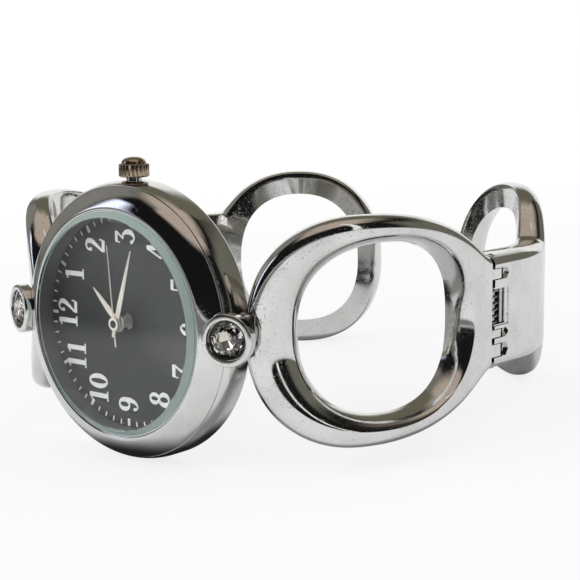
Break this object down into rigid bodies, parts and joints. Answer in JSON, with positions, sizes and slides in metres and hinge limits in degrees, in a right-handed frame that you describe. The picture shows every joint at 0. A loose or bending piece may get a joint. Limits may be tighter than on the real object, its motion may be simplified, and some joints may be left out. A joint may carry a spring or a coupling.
{
  "type": "cuff bracelet watch",
  "caption": "Cuff bracelet watch: a round case with a crown, stone-set collars, and open oval links with sprung hinges that go round the wrist.",
  "frame": {"origin": "middle of the case back's outer face, which lies against the wrist", "axes": "+Y into the wrist, so the dial faces -Y; +Z along the bracelet's axis, towards the crown at 3 o'clock; +X towards 6 o'clock, 12 o'clock at -X"},
  "size_m": [0.0588, 0.0609, 0.0332],
  "materials": {
    "case_chrome": "polished chrome plate",
    "bezel_chrome": "polished chrome plate",
    "link_chrome": "polished chrome plate",
    "collar_chrome": "polished chrome plate",
    "crown_chrome": "polished chrome plate",
    "crystal_glass": "clear mineral glass",
    "stone_glass": "clear cut glass",
    "dial_lacquer": "dark grey satin lacquer",
    "hand_cream": "cream paint",
    "ring_dark": "dark grey satin lacquer",
    "back_steel": "brushed",
    "inner_steel": "fine turned",
    "spring_steel": "drawn wire",
    "gasket_rubber": "matte",
    "gasket_nylon": "matte",
    "holder_plastic": "matte",
    "movement_brass": "fine stamped",
    "gilt_wheels": "polished",
    "coil_copper": "enamelled copper wire",
    "board_green": "solder resist"
  },
  "bodies": {
    "head": {"case": "case_chrome", "bezel": "bezel_chrome", "crystal": "crystal_glass", "crystal_gasket": "gasket_nylon", "chapter_ring": "ring_dark", "dial": "dial_lacquer", "case_back": "back_steel", "case_back_gasket": "gasket_rubber", "crown_tube": "crown_chrome", "movement_holder": "holder_plastic", "main_plate": "movement_brass", "train_bridge": "movement_brass", "bridge_screws": "inner_steel", "stator": "inner_steel", "coil_core": "inner_steel", "coil_winding": "coil_copper", "circuit_board": "board_green", "quartz_can": "inner_steel", "battery": "inner_steel", "battery_strap": "inner_steel", "collar_right": "collar_chrome", "collar_left": "collar_chrome", "stone_right": "stone_glass", "stone_left": "stone_glass", "front_link_right": "link_chrome", "front_link_left": "link_chrome", "hinge_pin_right": "inner_steel", "hinge_pin_left": "inner_steel", "hinge_spring_right": "spring_steel", "hinge_spring_left": "spring_steel"},
    "rear_right": {"rear_link_right": "link_chrome", "spring_leaf_right": "inner_steel"},
    "rear_left": {"rear_link_left": "link_chrome", "spring_leaf_left": "inner_steel"},
    "seconds": {"second_hand": "hand_cream", "seconds_wheel": "gilt_wheels"},
    "minutes": {"minute_hand": "hand_cream", "centre_wheel": "gilt_wheels"},
    "hours": {"hour_hand": "hand_cream", "hour_wheel": "gilt_wheels"},
    "third": {"third_wheel": "gilt_wheels"},
    "minute_work": {"minute_wheel": "gilt_wheels"},
    "fifth": {"fifth_wheel": "gilt_wheels"},
    "rotor": {"rotor": "inner_steel"},
    "yoke": {"clutch_yoke": "inner_steel"},
    "crown": {"crown": "crown_chrome", "stem": "inner_steel", "clutch": "inner_steel", "crown_gasket": "gasket_rubber"}
  },
  "joints": [
    {"name": "right_swing", "type": "hinge", "parent": "head", "child": "rear_right", "pos_m": [0.0284, 0.02501, 0], "axis": [0, 0, -1], "range_deg": [0, 25], "stiffness_Nm_per_rad": 0.05, "springref_deg": -5.73},
    {"name": "left_swing", "type": "hinge", "parent": "head", "child": "rear_left", "pos_m": [-0.0284, 0.02501, 0], "axis": [0, 0, 1], "range_deg": [0, 25], "stiffness_Nm_per_rad": 0.05, "springref_deg": -5.73},
    {"name": "seconds_turn", "type": "hinge", "parent": "head", "child": "seconds", "pos_m": [0, -0.002, 0], "axis": [0, 1, 0], "continuous": true},
    {"name": "minutes_turn", "type": "hinge", "parent": "head", "child": "minutes", "pos_m": [0, -0.002, 0], "axis": [0, 1, 0], "continuous": true},
    {"name": "hours_turn", "type": "hinge", "parent": "head", "child": "hours", "pos_m": [0, -0.002, 0], "axis": [0, 1, 0], "continuous": true},
    {"name": "third_turn", "type": "hinge", "parent": "head", "child": "third", "pos_m": [0.0034, -0.002, 0], "axis": [0, 1, 0], "continuous": true},
    {"name": "minute_work_turn", "type": "hinge", "parent": "head", "child": "minute_work", "pos_m": [0.0012, -0.002, -0.00208], "axis": [0, 1, 0], "continuous": true},
    {"name": "fifth_turn", "type": "hinge", "parent": "head", "child": "fifth", "pos_m": [-0.00168, -0.002, 0.00291], "axis": [0, 1, 0], "continuous": true},
    {"name": "rotor_turn", "type": "hinge", "parent": "head", "child": "rotor", "pos_m": [-0.00448, -0.002, 0.00291], "axis": [0, 1, 0], "continuous": true},
    {"name": "crown_pull", "type": "slide", "parent": "head", "child": "yoke", "axis": [0, 0, 1], "range_m": [0, 0.0009]},
    {"name": "crown_turn", "type": "hinge", "parent": "yoke", "child": "crown", "pos_m": [0, -0.002, 0.01565], "axis": [0, 0, 1], "continuous": true}
  ],
  "couplings": [
    {"joint": "minutes_turn", "follows": "seconds_turn", "ratio": 0.016667},
    {"joint": "hours_turn", "follows": "seconds_turn", "ratio": 0.0013889},
    {"joint": "third_turn", "follows": "seconds_turn", "ratio": -0.13333},
    {"joint": "minute_work_turn", "follows": "seconds_turn", "ratio": -0.0055556},
    {"joint": "fifth_turn", "follows": "seconds_turn", "ratio": -5},
    {"joint": "rotor_turn", "follows": "seconds_turn", "ratio": 30}
  ]
}
